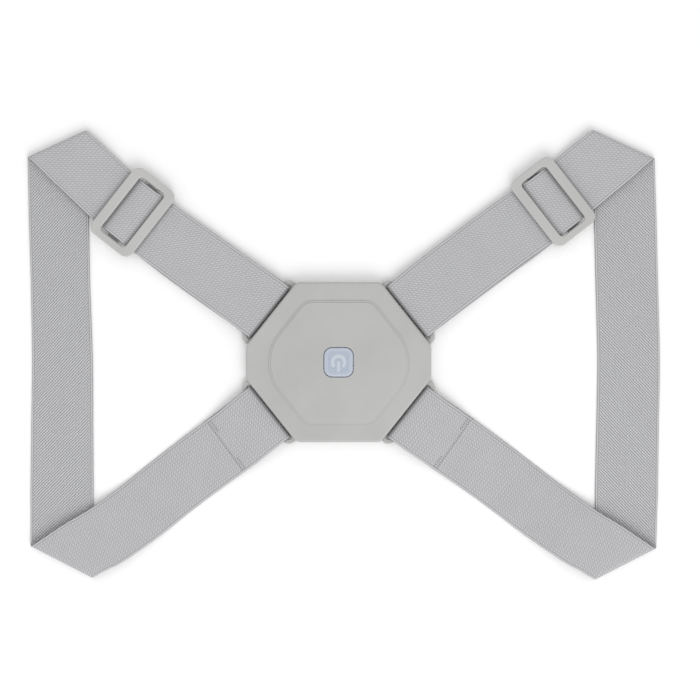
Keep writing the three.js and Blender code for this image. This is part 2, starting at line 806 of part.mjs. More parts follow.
  const webbingSolid = ribbon([
    ...lowerReturn,
    ...roundLower,
    ...lowerOut,
    ...waist.stations,
    ...uprightOut,
    ...shoulder.stations,
    ...upperOut,
    ...roundUpper,
    ...returnRun,
    ...roundBar,
    ...tab,
  ]);

  // Each sewn end is joined to the layer above it by a short seam
  const seam = (middle, direction) => {
    const halfSeam = seamLength / 2;
    const block = box(-halfSeam, halfSeam, strapWidth / 2 - seamInset, floor, floor + layerPitch);
    const turn = THREE.MathUtils.radToDeg(direction.angle());
    return block.rotate([0, 0, turn]).translate([middle.x, middle.y, 0]);
  };
  const seams = seam(tabEnd.addScaledVector(away, -seamLength), away).add(
    seam(alongAdjuster(upperTab - seamLength), adjuster.direction),
  );
  return meshOf(webbingSolid.add(seams), "strap_" + side.name, webbing);
}

const corrector = new THREE.Group();
corrector.name = "posture_corrector";
corrector.add(backShell(), frontShell(), powerButton());
for (const side of sides) {
  corrector.add(slideAdjuster("slide_adjuster_" + side.name, layout(side).adjuster));
  corrector.add(strap(side));
}

export default corrector;
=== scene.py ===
# %% [markdown]
# # A posture corrector, laid flat
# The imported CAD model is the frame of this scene. It is loaded first, and every piece made below sits
# where the CAD says, in metres. The object has a plastic housing in two shells with a push button, and
# on each side one strap of elastic webbing, threaded through a slide adjuster.

# %% Load the frame
import math

import bmesh
import bpy
from mathutils import Matrix, Vector


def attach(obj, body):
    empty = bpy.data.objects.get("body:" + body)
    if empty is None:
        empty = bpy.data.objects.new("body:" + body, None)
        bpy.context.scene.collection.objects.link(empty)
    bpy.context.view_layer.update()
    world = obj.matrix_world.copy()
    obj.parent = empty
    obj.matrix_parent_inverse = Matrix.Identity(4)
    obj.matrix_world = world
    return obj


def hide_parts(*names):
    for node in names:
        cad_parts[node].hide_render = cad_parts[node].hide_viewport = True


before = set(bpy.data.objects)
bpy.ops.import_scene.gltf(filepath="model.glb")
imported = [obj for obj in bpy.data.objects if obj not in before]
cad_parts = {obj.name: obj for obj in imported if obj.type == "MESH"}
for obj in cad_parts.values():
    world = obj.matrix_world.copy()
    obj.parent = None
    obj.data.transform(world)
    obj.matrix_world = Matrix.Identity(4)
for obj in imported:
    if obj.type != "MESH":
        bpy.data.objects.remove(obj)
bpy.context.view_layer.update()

# %% [markdown]
# ## Sizes
# These are the CAD's own named sizes, in millimetres, because they are easier to read that way. A
# mesh is made in millimetres and scaled to metres when it is finished.

# %% Sizes of the housing
MM = 0.001
HOUSING_WIDTH = 115
HOUSING_HEIGHT = 99.4
SLANT_REACH = 51.4
SLANT_ANGLE = math.radians(38.5)
HOUSING_CORNER = 5
BACK_TOP = 4.6
BACK_BEVEL = 1.2
SEAM_BEVEL = 0.25
RIM_TOP = 9.5
RIM_ROUND = 1.6
PANEL_TOP_REACH = 38.4
PANEL_SLANT_REACH = 40.3
PANEL_CORNER = 9.5
PANEL_END_RADIUS = 27.5
PANEL_STEP = 1.8
PANEL_RISE = 1.1
PANEL_CROWN = 0.5
PANEL_TOP = RIM_TOP + PANEL_RISE + PANEL_CROWN
BUTTON = 18
BUTTON_CORNER = 5
BUTTON_GAP = 0.45
BUTTON_TOP = PANEL_TOP + 0.4

# %% Sizes of the webbing and of what it passes round
WEBBING = 40
THICK = 1.5
GAP = 0.3
PITCH = THICK + GAP
CLEAR = GAP + THICK / 2
SLOT = 3.4
SLOT_HALF = WEBBING / 2 + 1.1
SLOT_CORNER = 1.55
LUG_BAR = 3.1
LUG_END_WALL = 3.1
LUG_INSIDE = 8
LUG_CORNER = 5
LUG_ROUND = 0.7
LUG_LOOP = 1.4
LUG_THICKNESS = 2.5
LUG_TOP = BACK_TOP
LUG_BOTTOM = BACK_TOP - LUG_THICKNESS
WINDOW = 19.3
WINDOW_HALF = WEBBING / 2 + 1.05
WINDOW_CORNER = 2.5
LONG_BAR = 6.3
END_BAR = 4.4
FRAME_CORNER = 5.5
FRAME_ROUND = 0.85
CENTRE_BAR = 8
CENTRE_ROUND = 0.7
POST_INSIDE = 0.45
POST_LENGTH = 4.2
CENTRE_BOTTOM = THICK / 2 + CLEAR
CENTRE_TOP = CENTRE_BOTTOM + 1.8
FRAME_BOTTOM = THICK / 2 + 2 * PITCH + CLEAR
FRAME_TOP = FRAME_BOTTOM + 2.4
POST_TOP = FRAME_TOP - 0.9

# %% [markdown]
# ## Helpers for rigid pieces
# A moulded part is mostly a flat outline with rounded corners that is pulled up and has its edges
# rounded. In Blender that is a face whose corners are bevelled, then an extrusion, then a bevel of the
# edges. Each helper below does one of these steps with an operator.


# %% Outlines
def corners_of(sides):
    """The corners of a convex outline of sides (angle of the outward normal, distance from the middle)."""
    points = []
    for (a, p), (b, q) in zip(sides, sides[1:] + sides[:1]):
        x = (p * math.sin(b) - q * math.sin(a)) / math.sin(b - a)
        y = (q * math.cos(a) - p * math.cos(b)) / math.sin(b - a)
        points.append(Vector((x, y, 0)))
    return points


def rectangle(x0, x1, half):
    """The corners of a rectangle, anticlockwise from the lower left."""
    return [Vector(p) for p in ((x0, -half, 0), (x1, -half, 0), (x1, half, 0), (x0, half, 0))]


def rounded_face(bm, points, radii, z, segments=8):
    """A flat face through the points at height z, each corner rounded with its own radius."""
    face = bm.faces.new([bm.verts.new((p.x, p.y, z)) for p in points])
    verts = list(face.verts)
    for i, (vert, radius) in enumerate(zip(verts, radii)):
        before = points[i] - points[i - 1]
        after = points[(i + 1) % len(points)] - points[i]
        cut = radius * math.tan(before.angle(after) / 2)
        made = bmesh.ops.bevel(
            bm, geom=[vert], offset=cut, offset_type="OFFSET", segments=segments, profile=0.5,
            affect="VERTICES", material=-1,
        )
        face = made["verts"][0].link_faces[0]
    return face


# %% Extrusions and edges
def pull(bm, faces, height, keep=True):
    """Extrudes faces straight up or down and returns the moved ones. The first faces stay if asked."""
    made = bmesh.ops.extrude_face_region(bm, geom=faces, use_keep_orig=keep)
    moved = [g for g in made["geom"] if isinstance(g, bmesh.types.BMFace)]
    verts = {v for f in moved for v in f.verts}
    bmesh.ops.translate(bm, verts=list(verts), vec=(0, 0, height))
    if not keep:
        bmesh.ops.delete(bm, geom=[f for f in faces if f.is_valid], context="FACES_ONLY")
    return moved


def round_edges(bm, edges, width, segments=4):
    """Rounds edges with an arc."""
    bmesh.ops.bevel(
        bm, geom=edges, offset=width, offset_type="OFFSET", segments=segments, profile=0.5,
        affect="EDGES", material=-1,
    )


def corner_edges(bm, angle=50):
    """The edges between faces that meet at more than the angle, in degrees."""
    return [e for e in bm.edges if e.calc_face_angle(0) > math.radians(angle)]


def fill_between(bm, outer, inner):
    """Fills the flat band between two closed loops of edges."""
    bmesh.ops.triangle_fill(bm, edges=outer + inner, use_beauty=True)


# %% From a mesh to a piece
def finish_piece(bm, name, materials, body="corrector", angle=35):
    """Turns a mesh in millimetres into a smooth-shaded piece in metres that rides on a body."""
    bmesh.ops.remove_doubles(bm, verts=bm.verts, dist=1e-4)
    bmesh.ops.recalc_face_normals(bm, faces=bm.faces)
    bmesh.ops.scale(bm, verts=bm.verts, vec=(MM, MM, MM))
    mesh = bpy.data.meshes.new(name)
    bm.to_mesh(mesh)
    bm.free()
    mesh.shade_smooth()
    mesh.set_sharp_from_angle(angle=math.radians(angle))
    piece = bpy.data.objects.new(name, mesh)
    bpy.context.scene.collection.objects.link(piece)
    for material in materials:
        mesh.materials.append(material)
    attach(piece, body)
    faces = len(mesh.polygons)
    print(f"{name}: {faces} faces")
    return piece


def flat_shading_kept(piece):
    """Weights normals by face size, so that flat faces stay flat beside their rounded edges."""
    piece.modifiers.new("flat faces", "WEIGHTED_NORMAL").keep_sharp = True


def weld(bm, others):
    """Joins closed meshes that overlap into one skin, as moulding does. All are in millimetres."""
    parts = []
    for part in [bm, *others]:
        bmesh.ops.recalc_face_normals(part, faces=part.faces)
        mesh = bpy.data.meshes.new("part")
        part.to_mesh(mesh)
        part.free()
        parts.append(bpy.data.objects.new("part", mesh))
        bpy.context.scene.collection.objects.link(parts[-1])
    first = parts[0]
    for part in parts[1:]:
        join = first.modifiers.new("join", "BOOLEAN")
        join.operation = "UNION"
        join.object = part
        join.solver = "EXACT"
    joined = bmesh.new()
    joined.from_object(first, bpy.context.evaluated_depsgraph_get())
    for part in parts:
        bpy.data.objects.remove(part)
    return joined


# %% [markdown]
# ## Finishes
# The housing and the adjusters are moulded in a warm light-grey plastic with a very fine grain. The
# button is a milky, slightly blue plastic. Both are procedural: noise gives the grain and a slow
# change in gloss, so that no surface is one flat colour. Inner corners get painted shade, a little
# darker, and outer edges a painted highlight, a little lighter.


# %% A material and its nodes
class Nodes:
    """A new material and a short way to add nodes to it."""

    def __init__(self, name):
        self.material = bpy.data.materials.new(name)
        self.material.use_nodes = True
        self.tree = self.material.node_tree
        self.shader = self.tree.nodes["Principled BSDF"]

    def add(self, kind, **values):
        node = self.tree.nodes.new(kind)
        for key, value in values.items():
            setattr(node, key, value)
        return node

    def link(self, source, target):
        self.tree.links.new(source, target)

    def math(self, operation, a, b=None, c=None):
        """A Math node on numbers or sockets, and its result."""
        node = self.add("ShaderNodeMath", operation=operation)
        for socket, value in zip(node.inputs, (a, b, c)):
            if isinstance(value, (int, float)):
                socket.default_value = value
            elif value is not None:
                self.link(value, socket)
        return node.outputs[0]

    def noise(self, scale, detail=3):
        node = self.add("ShaderNodeTexNoise")
        node.inputs["Scale"].default_value = scale
        node.inputs["Detail"].default_value = detail
        self.link(self.add("ShaderNodeTexCoord").outputs["Object"], node.inputs["Vector"])
        return node.outputs["Fac"]

    def ramp(self, factor, stops):
        """A colour ramp: stops are (place, colour)."""
        node = self.add("ShaderNodeValToRGB")
        elements = node.color_ramp.elements
        for element, (place, colour) in zip(elements, (stops[0], stops[-1])):
            element.position = place
            element.color = (*colour, 1)
        for place, colour in stops[1:-1]:
            elements.new(place).color = (*colour, 1)
        self.link(factor, node.inputs["Fac"])
        return node.outputs["Color"]

    def range(self, value, low, high):
        """A value from 0 to 1 mapped to a range."""
        node = self.add("ShaderNodeMapRange")
        node.inputs["To Min"].default_value = low
        node.inputs["To Max"].default_value = high
        self.link(value, node.inputs["Value"])
        return node.outputs["Result"]

    def bump(self, height, distance, strength):
        node = self.add("ShaderNodeBump")
        node.inputs["Distance"].default_value = distance
        node.inputs["Strength"].default_value = strength
        self.link(height, node.inputs["Height"])
        self.link(node.outputs["Normal"], self.shader.inputs["Normal"])


def near_surface(n, inside, distance):
    """1 on open surfaces, less in inner corners, or on outer edges when it looks inside."""
    occlusion = n.add("ShaderNodeAmbientOcclusion", inside=inside, samples=8)
    occlusion.inputs["Distance"].default_value = distance
    return occlusion.outputs["AO"]


def moulded_plastic(name, colours, roughness, grain, highlight_gain=1.45):
    """Plastic with a fine moulded grain: grain is the height of the bumps in metres."""
    n = Nodes(name)
    base = n.ramp(n.noise(35, 4), list(zip((0.35, 0.65), colours)))
    # Painted highlight: outer edges are made lighter, by up to the highlight gain. Painted shade: inner
    # corners are made darker, down to 0.6.
    painted_edge_highlight = n.range(near_surface(n, True, 0.0008), highlight_gain, 1.0)
    painted_corner_shade_and_highlight = n.math("MULTIPLY", painted_edge_highlight, n.range(near_surface(n, False, 0.0016), 0.6, 1.0))
    shade = n.add("ShaderNodeVectorMath", operation="SCALE")
    n.link(base, shade.inputs["Vector"])
    n.link(painted_corner_shade_and_highlight, shade.inputs["Scale"])
    n.link(shade.outputs["Vector"], n.shader.inputs["Base Color"])
    n.link(n.range(n.noise(90, 3), roughness - 0.06, roughness + 0.06), n.shader.inputs["Roughness"])
    n.bump(n.noise(5200, 2), grain, 0.6)
    n.shader.inputs["Specular IOR Level"].default_value = 0.4
    return n.material


SHELL_COLOURS = [(0.425, 0.425, 0.416), (0.452, 0.452, 0.442)]
ADJUSTER_COLOURS = [(0.455, 0.452, 0.445), (0.485, 0.482, 0.475)]
MILKY_COLOURS = [(0.4, 0.45, 0.53), (0.425, 0.475, 0.56)]
RIM_COLOURS = [(0.45, 0.49, 0.57), (0.475, 0.515, 0.595)]
MARK_COLOURS = [(0.5, 0.545, 0.61), (0.525, 0.57, 0.635)]
shell_plastic = moulded_plastic("shell_plastic", SHELL_COLOURS, 0.5, 0.00002)
adjuster_plastic = moulded_plastic("adjuster_plastic", ADJUSTER_COLOURS, 0.4, 0.00001)
milky_plastic = moulded_plastic("milky_plastic", MILKY_COLOURS, 0.3, 0.000005)
milky_rim = moulded_plastic("milky_rim", RIM_COLOURS, 0.3, 0.000005)
mark_plastic = moulded_plastic("mark_plastic", MARK_COLOURS, 0.32, 0.000005, 1.0)
for milky in (milky_plastic, milky_rim):
    milky_shader = milky.node_tree.nodes["Principled BSDF"]
    milky_shader.inputs["Subsurface Weight"].default_value = 0.25
    milky_shader.inputs["Subsurface Radius"].default_value = (0.0016, 0.0018, 0.002)
    milky_shader.inputs["Coat Weight"].default_value = 0.15
print("plastics:", [m.name for m in bpy.data.materials])

# %% [markdown]
# ## The front shell
# The housing's outline has eight sides, and the straps leave through its four slanted ones. Its top edge
# is well rounded. A six-sided panel stands a millimetre proud of it, with a soft step all round and a
# slight crown, and the button sits in a rounded square hole in the middle.

# %% The outlines of the housing and the panel
quarters = [0, math.pi / 2, math.pi, 3 * math.pi / 2]
housing_sides = []
for quarter in quarters:
    across = abs(math.cos(quarter)) > 0.5
    reach = (HOUSING_WIDTH if across else HOUSING_HEIGHT) / 2
    slant = quarter + (SLANT_ANGLE if across else math.pi / 2 - SLANT_ANGLE)
    housing_sides += [(quarter, reach), (slant, SLANT_REACH)]
panel_sides = [
    (SLANT_ANGLE, PANEL_SLANT_REACH),
    (math.pi / 2, PANEL_TOP_REACH),
    (math.pi - SLANT_ANGLE, PANEL_SLANT_REACH),
    (math.pi + SLANT_ANGLE, PANEL_SLANT_REACH),
    (3 * math.pi / 2, PANEL_TOP_REACH),
    (2 * math.pi - SLANT_ANGLE, PANEL_SLANT_REACH),
]
housing_corners = corners_of(housing_sides)
panel_corners = corners_of(panel_sides)
panel_radii = [PANEL_CORNER, PANEL_CORNER, PANEL_END_RADIUS] * 2
print("housing corners:", len(housing_corners), "panel corners:", len(panel_corners))


# %% The front shell, from the rim to the panel
def top_face(bm):
    """The largest of the highest faces."""
    return max(bm.faces, key=lambda f: (round(f.calc_center_median().z, 4), f.calc_area()))


bm = bmesh.new()
base = rounded_face(bm, housing_corners, [HOUSING_CORNER] * 8, BACK_TOP + SEAM_BEVEL)
lid = pull(bm, [base], RIM_TOP - BACK_TOP - SEAM_BEVEL)[0]
round_edges(bm, list(lid.edges), RIM_ROUND, 6)
lid = top_face(bm)
lid_edges = list(lid.edges)
bmesh.ops.delete(bm, geom=[lid], context="FACES_ONLY")
panel = rounded_face(bm, panel_corners, panel_radii, RIM_TOP, 14)
fill_between(bm, lid_edges, list(panel.edges))
step_rows = [(0.06, 0.02), (0.14, 0.38), (0.58, 0.16), (0.14, 0.4), (0.08, 0.04)]
for width_share, rise_share in step_rows:
    bmesh.ops.inset_region(
        bm, faces=[panel], thickness=width_share * PANEL_STEP, depth=rise_share * PANEL_RISE,
        use_even_offset=True,
    )
crown_rows = [(0.88, 0.36), (0.83, 0.3), (0.78, 0.22), (0.75, 0.12)]
for scale, rise_share in crown_rows:
    panel = pull(bm, [panel], rise_share * PANEL_CROWN, keep=False)[0]
    bmesh.ops.scale(bm, verts=list(panel.verts), vec=(scale, scale, 1))
print("front shell so far:", len(bm.faces), "faces")

# %% The hole for the button
HOLE_DEPTH = 5.9
hole_half = BUTTON / 2 + BUTTON_GAP
panel_edges = list(panel.edges)
bmesh.ops.delete(bm, geom=[panel], context="FACES_ONLY")
hole_radii = [BUTTON_CORNER + BUTTON_GAP] * 4
hole = rounded_face(bm, rectangle(-hole_half, hole_half, hole_half), hole_radii, PANEL_TOP, 10)
hole_edges = list(hole.edges)
fill_between(bm, panel_edges, hole_edges)
pull(bm, [hole], -HOLE_DEPTH, keep=False)
round_edges(bm, hole_edges, 0.25, 3)
front_shell = finish_piece(bm, "front_cover", [shell_plastic])
flat_shading_kept(front_shell)
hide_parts("front_shell")

# %% [markdown]
# ## The back shell and its lugs
# The lower half is a shallow tray with a lug on each slanted side. A lug is a plate with a slot, and the
# narrow bar outside the slot is what a strap wraps. One helper makes a plate with a hole, for the
# lugs here and for the slide adjusters later, by bridging an outer and an inner loop.


# %% A plate with a hole
def holed_plate(outer, outer_radius, inner, inner_radius, bottom, top, edge, segments=4):
    """A flat plate with a hole, both with rounded corners, and every edge rounded."""
    bm = bmesh.new()
    loops = []
    for points, radius in ((outer, outer_radius), (inner, inner_radius)):
        face = rounded_face(bm, points, [radius] * len(points), bottom)
        loops += list(face.edges)
        bmesh.ops.delete(bm, geom=[face], context="FACES_ONLY")
    flat = bmesh.ops.bridge_loops(bm, edges=loops)["faces"]
    pull(bm, flat, top - bottom)
    bmesh.ops.recalc_face_normals(bm, faces=bm.faces)
    round_edges(bm, corner_edges(bm), edge, segments)
    return bm


def slanted_side(sign_x, sign_y):
    """The middle of a slanted side of the housing and the direction that it faces."""
    first, second = housing_corners[0], housing_corners[1]
    middle = (first + second) / 2
    return (
        Vector((sign_x * middle.x, sign_y * middle.y)),
        Vector((sign_x * math.cos(SLANT_ANGLE), sign_y * math.sin(SLANT_ANGLE))),
    )


def place(bm, middle, direction):
    """Turns a mesh so that its X points along the direction, and moves it to the middle."""
    turn = Matrix.Rotation(math.atan2(direction.y, direction.x), 4, "Z")
    shift = Matrix.Translation((middle.x, middle.y, 0))
    bmesh.ops.transform(bm, matrix=shift @ turn, verts=bm.verts)
    return bm


# %% The back shell
tray = bmesh.new()
tray_floor = rounded_face(tray, housing_corners, [HOUSING_CORNER] * 8, 0)
pull(tray, [tray_floor], BACK_TOP)
bmesh.ops.recalc_face_normals(tray, faces=tray.faces)
lowest = [e for e in tray.edges if all(v.co.z < 0.01 for v in e.verts)]
highest = [e for e in tray.edges if all(v.co.z > BACK_TOP - 0.01 for v in e.verts)]
round_edges(tray, lowest, BACK_BEVEL, 4)
round_edges(tray, highest, SEAM_BEVEL, 2)
lugs = []
for sign_x in (-1, 1):
    for sign_y in (-1, 1):
        lug = holed_plate(
            rectangle(-LUG_INSIDE, SLOT + LUG_BAR, SLOT_HALF + LUG_END_WALL), LUG_CORNER,
            rectangle(0, SLOT, SLOT_HALF), SLOT_CORNER, LUG_BOTTOM, LUG_TOP, LUG_ROUND,
        )
        lugs.append(place(lug, *slanted_side(sign_x, sign_y)))
back_shell = finish_piece(weld(tray, lugs), "back_cover", [shell_plastic])
flat_shading_kept(back_shell)
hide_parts("back_shell")

# %% [markdown]
# ## The button
# A low cap with rounded corners and edges, very slightly dished inside a lighter rim. A skirt round its
# lower part closes the gap in the front shell's hole. The usual on-and-off mark is moulded into it a shade
# lighter: an open ring, spun from a small square, and a short bar in its opening. It stands a twentieth
# of a millimetre proud, enough to catch the light.

# %% The button's cap
DISH = 0.1
CAP_BOTTOM = 6.2
CAP_ROUND = 0.9
RIM_WIDTH = 0.9
DISH_SLOPE = 0.5
SKIRT_DOWN = 1
SKIRT_WIDER = BUTTON_GAP - 0.1
skirt_half = BUTTON / 2 + SKIRT_WIDER
bm = bmesh.new()
cap = rounded_face(bm, rectangle(-BUTTON / 2, BUTTON / 2, BUTTON / 2), [BUTTON_CORNER] * 4, CAP_BOTTOM, 10)
cap = pull(bm, [cap], BUTTON_TOP - CAP_BOTTOM)[0]
round_edges(bm, list(cap.edges), CAP_ROUND, 6)
for face in bm.faces:
    face.material_index = 1
dish = top_face(bm)
bmesh.ops.inset_region(bm, faces=[dish], thickness=RIM_WIDTH, depth=0, use_even_offset=True)
bmesh.ops.inset_region(bm, faces=[dish], thickness=DISH_SLOPE, depth=-DISH, use_even_offset=True)
dish.material_index = 0
skirt_radii = [BUTTON_CORNER + SKIRT_WIDER] * 4
skirt = rounded_face(bm, rectangle(-skirt_half, skirt_half, skirt_half), skirt_radii, CAP_BOTTOM, 10)
skirt = pull(bm, [skirt], PANEL_TOP - SKIRT_DOWN - CAP_BOTTOM)[0]
for face in [skirt, *(f for e in skirt.edges for f in e.link_faces)]:
    face.material_index = 1
button_cap = finish_piece(bm, "button_cap", [milky_plastic, milky_rim], "button")
flat_shading_kept(button_cap)
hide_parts("power_button")

# %% The on-and-off mark
MARK_OUTER = 4.8
MARK_STROKE = 2.1
MARK_TOP = BUTTON_TOP - DISH
MARK_HEIGHT = 0.05
MARK_BAR = 6.2
MARK_BAR_MIDDLE = -2.7
opening = math.radians(42)
bm = bmesh.new()
bmesh.ops.create_circle(bm, segments=4, radius=MARK_STROKE / math.sqrt(2))
bmesh.ops.rotate(bm, verts=bm.verts, matrix=Matrix.Rotation(math.pi / 4, 3, "Z"))
bmesh.ops.rotate(bm, verts=bm.verts, matrix=Matrix.Rotation(math.pi / 2, 3, "X"))
bmesh.ops.scale(bm, verts=bm.verts, vec=(1, 1, 2 * MARK_HEIGHT / MARK_STROKE))
bmesh.ops.translate(bm, verts=bm.verts, vec=(MARK_OUTER - MARK_STROKE / 2, 0, MARK_TOP))
bmesh.ops.rotate(bm, verts=bm.verts, matrix=Matrix.Rotation(opening - math.pi / 2, 3, "Z"))
bmesh.ops.spin(
    bm, geom=list(bm.edges) + list(bm.verts), cent=(0, 0, 0), axis=(0, 0, 1), dvec=(0, 0, 0),
    angle=2 * math.pi - 2 * opening, steps=48,
)
bmesh.ops.holes_fill(bm, edges=[e for e in bm.edges if e.is_boundary])
bar = bmesh.ops.create_cube(bm, size=1)["verts"]
bmesh.ops.scale(bm, verts=bar, vec=(MARK_STROKE, MARK_BAR, 2 * MARK_HEIGHT))
bmesh.ops.translate(bm, verts=bar, vec=(0, MARK_BAR_MIDDLE, MARK_TOP))
button_mark = finish_piece(bm, "button_mark", [mark_plastic], "button")

# %% [markdown]
# ## The route of a strap
# A strap is one flat strip, and everything about its shape is the route that it takes. It starts as a
# sewn tab under the lower lug, turns round the lug's bar and runs out to the waist. There it folds over
# and goes straight up to the shoulder, folds again, goes over the slide adjuster's centre bar and round
# the upper lug, comes back underneath and ends round the centre bar. The route is a list of stations.
# Each one has the middle of the webbing, the half-width vector from the middle to one edge, and the skew
# of that vector, because near a fold the webbing bends along a slanted line.

# %% Where each strap lies, from the CAD
SPREAD_WIDTH = 395
SPREAD_HEIGHT = 280
SIDES = [
    {
        "name": "left", "hand": -1,
        "top": (0.8906, 0.9736), "middle": (0.8734, 0), "bottom": (0.8754, -0.89),
        "top_fold": 2.8, "bottom_fold": 3.35, "share": 0.614, "sag": 0.0245, "drift": 0.01, "shift": 0,
        "lower": 1, "waist": 0.96, "shoulder": 0.915, "upper": 0.94, "adjuster": 0.96, "lug": 1,
    },
    {
        "name": "right", "hand": 1,
        "top": (0.9008, 0.9714), "middle": (0.917, 0), "bottom": (0.9063, -0.8986),
        "top_fold": 2.9, "bottom_fold": 3.6, "share": 0.658, "sag": 0.007, "drift": 0.0225, "shift": 0.0135,
        "lower": 1, "waist": 0.935, "shoulder": 0.945, "upper": 0.975, "adjuster": 1.01, "lug": 1.01,
    },
]
LOWER_RUN = [  # share of the run, which height, share of it, outward bow on the left and on the right
    (0.06, "lug", 0.94, 0.0075, 0.005), (0.14, "lug", 0.66, 0.027, 0.002),
    (0.36, "fold", 0.06, 0.03, 0.003), (0.5, "fold", 0.02, 0.046, 0.022),
    (0.64, "fold", 0.22, 0.073, 0.046), (0.8, "fold", 0.78, 0.068, 0.045), (0.92, "fold", 1, 0.025, 0.015),
]
UPRIGHT_RUN = [  # towards which end, how far, width on the left and on the right
    ("bottom", 0.65, 0.98, 0.98), ("bottom", 0.3, 0.96, 0.97), ("middle", 0, 0.942, 0.97),
    ("top", 0.35, 0.918, 0.97), ("top", 0.65, 0.93, 0.97),
]
SHOULDER_RUN = [(0.35, 0.92, 0.6), (0.7, 0.78, 0.15)]
INNER_RUN = [(0.25, "adjuster", 0.94, 2.4), (0.55, "adjuster", 0.92, 2.8), (0.85, "lug", 0.93, 2.2)]
UNDER_RUN = [(0.5, 0, 2.8), (0.8, 0.35, 2.4)]
LOWER_TAB = 33.5
UPPER_TAB = 29.5
STITCH_INSET = 3
TWIST_FROM = 0.68  # share of the lower run where the webbing starts to bend towards the fold
STATION_SPACING = 2.5
SETTLE = 22  # how far from an end a run still turns towards that end's direction
TURN_STEPS = 16


# %% Small helpers for the route
def layer(count):
    """The height of the middle of a layer of webbing above the surface."""
    return THICK / 2 + count * PITCH


def left_of(direction):
    return Vector((-direction.y, direction.x))


def lift(plan, z):
    return Vector((plan.x, plan.y, z))


def smooth(x):
    x = min(max(x, 0), 1)
    return x * x * (3 - 2 * x)


def mix(a, b, share):
    return a + (b - a) * share


def row(at, width, skew=0.0):
    return {"at": at, "width": width, "skew": skew}


def station(at, direction, side, skew, width):
    """One station. side is 1 where the webbing's face is up and -1 where its back is up."""
    across = left_of(direction) * side + direction * skew
    return {"at": at, "half": lift(across * (width / 2), 0), "skew": skew, "width": width}


# %% A curved run of webbing
def curve_through(points):
    """A centripetal curve. The result gives the point at share f between points k and k + 1."""
    ends = [2 * points[0] - points[1], *points, 2 * points[-1] - points[-2]]

    def point(k, f):
        p0, p1, p2, p3 = ends[k : k + 4]
        d0, d1, d2 = (math.sqrt((b - a).length) for a, b in ((p0, p1), (p1, p2), (p2, p3)))
        first = ((p1 - p0) / d0 - (p2 - p0) / (d0 + d1) + (p2 - p1) / d1) * d1
        second = ((p2 - p1) / d1 - (p3 - p1) / (d1 + d2) + (p3 - p2) / d2) * d1
        square = -3 * p1 + 3 * p2 - 2 * first - second
        cube = 2 * p1 - 2 * p2 + first + second
        return p1 + first * f + square * f * f + cube * f**3

    return point


def run(rows, side, start=None, end=None):
    """Stations along a curve. Near an end with a given direction, the webbing turns into it."""
    point = curve_through([r["at"] for r in rows])
    first, last = rows[0]["at"], rows[-1]["at"]
    stations = []
    for k, (here, there) in enumerate(zip(rows, rows[1:])):
        steps = max(2, round((there["at"] - here["at"]).length / STATION_SPACING))
        for i in range(steps + (k == len(rows) - 2)):
            f = i / steps
            at = point(k, f)
            at.z = max(at.z, layer(0))
            slope = point(k, f + 0.01) - point(k, f - 0.01)
            direction = Vector((slope.x, slope.y)).normalized()
            if start:
                direction = direction.lerp(start, 1 - smooth((at - first).length / SETTLE)).normalized()
            if end:
                direction = direction.lerp(end, 1 - smooth((at - last).length / SETTLE)).normalized()
            skew = mix(here["skew"], there["skew"], f)
            stations.append(station(at, direction, side, skew, mix(here["width"], there["width"], f)))
    return stations


# %% A turn round a bar and a fold
def wrap(middle, out, z, radius, from_top, side, width, loop=1.0):
    """Stations half way round a bar, on the side away from out. A loop over 1 is a slack turn."""
    stations = []
    for i in range(TURN_STEPS + 1):
        angle = math.pi * i / TURN_STEPS
        up = math.cos(angle) * radius * (1 if from_top else -1)
        plan = middle - out * (math.sin(angle) * radius * loop)
        stations.append(station(lift(plan, z + up), out, -side if from_top else side, 0, width))
    return stations


def fold(crease, before, after, low, height, upwards, side, width):
    """Stations half way round a slanted crease, and the skew that the webbing has there."""
    line = (before + after).normalized()
    outwards = (before - after).normalized()
    cosine, sine = before.dot(line), before.dot(outwards)
    hand = math.copysign(1, left_of(line).dot(outwards))
    radius = height / 2
    middle = crease - outwards * (radius + THICK / 2)
    skew = -hand * side * cosine / sine
    half = lift(line * (-hand * side * width / 2 / sine), 0)
    stations = []
    for i in range(TURN_STEPS + 1):
        angle = math.pi * i / TURN_STEPS
        plan = middle + line * ((angle - math.pi / 2) * radius * cosine / sine)
        plan += outwards * (math.sin(angle) * radius)
        z = low + radius - math.cos(angle) * radius * (1 if upwards else -1)
        stations.append({"at": lift(plan, z), "half": half, "skew": skew, "width": width})
    return stations, skew


# %% Where the lugs, the adjuster and the folds lie
def layout(side):
    def on_side(share):
        return Vector((side["hand"] * share[0] * SPREAD_WIDTH / 2, share[1] * SPREAD_HEIGHT / 2))

    bar_reach = SLOT + LUG_THICKNESS / 2
    places = {key: on_side(side[key]) for key in ("top", "middle", "bottom")}
    for name, sign_y in (("upper_lug", 1), ("lower_lug", -1)):
        middle, out = slanted_side(side["hand"], sign_y)
        places[name] = (middle + out * bar_reach, out)
    lug = places["upper_lug"][0]
    reach = places["top"] - lug
    inwards = left_of(reach) * -side["hand"]
    middle = lug + reach * side["share"] + inwards * side["sag"]
    outer = (places["top"] - middle).normalized()
    inner = (middle - lug).normalized()
    places["adjuster"] = (middle, (inner * 2 + outer).normalized())
    return places


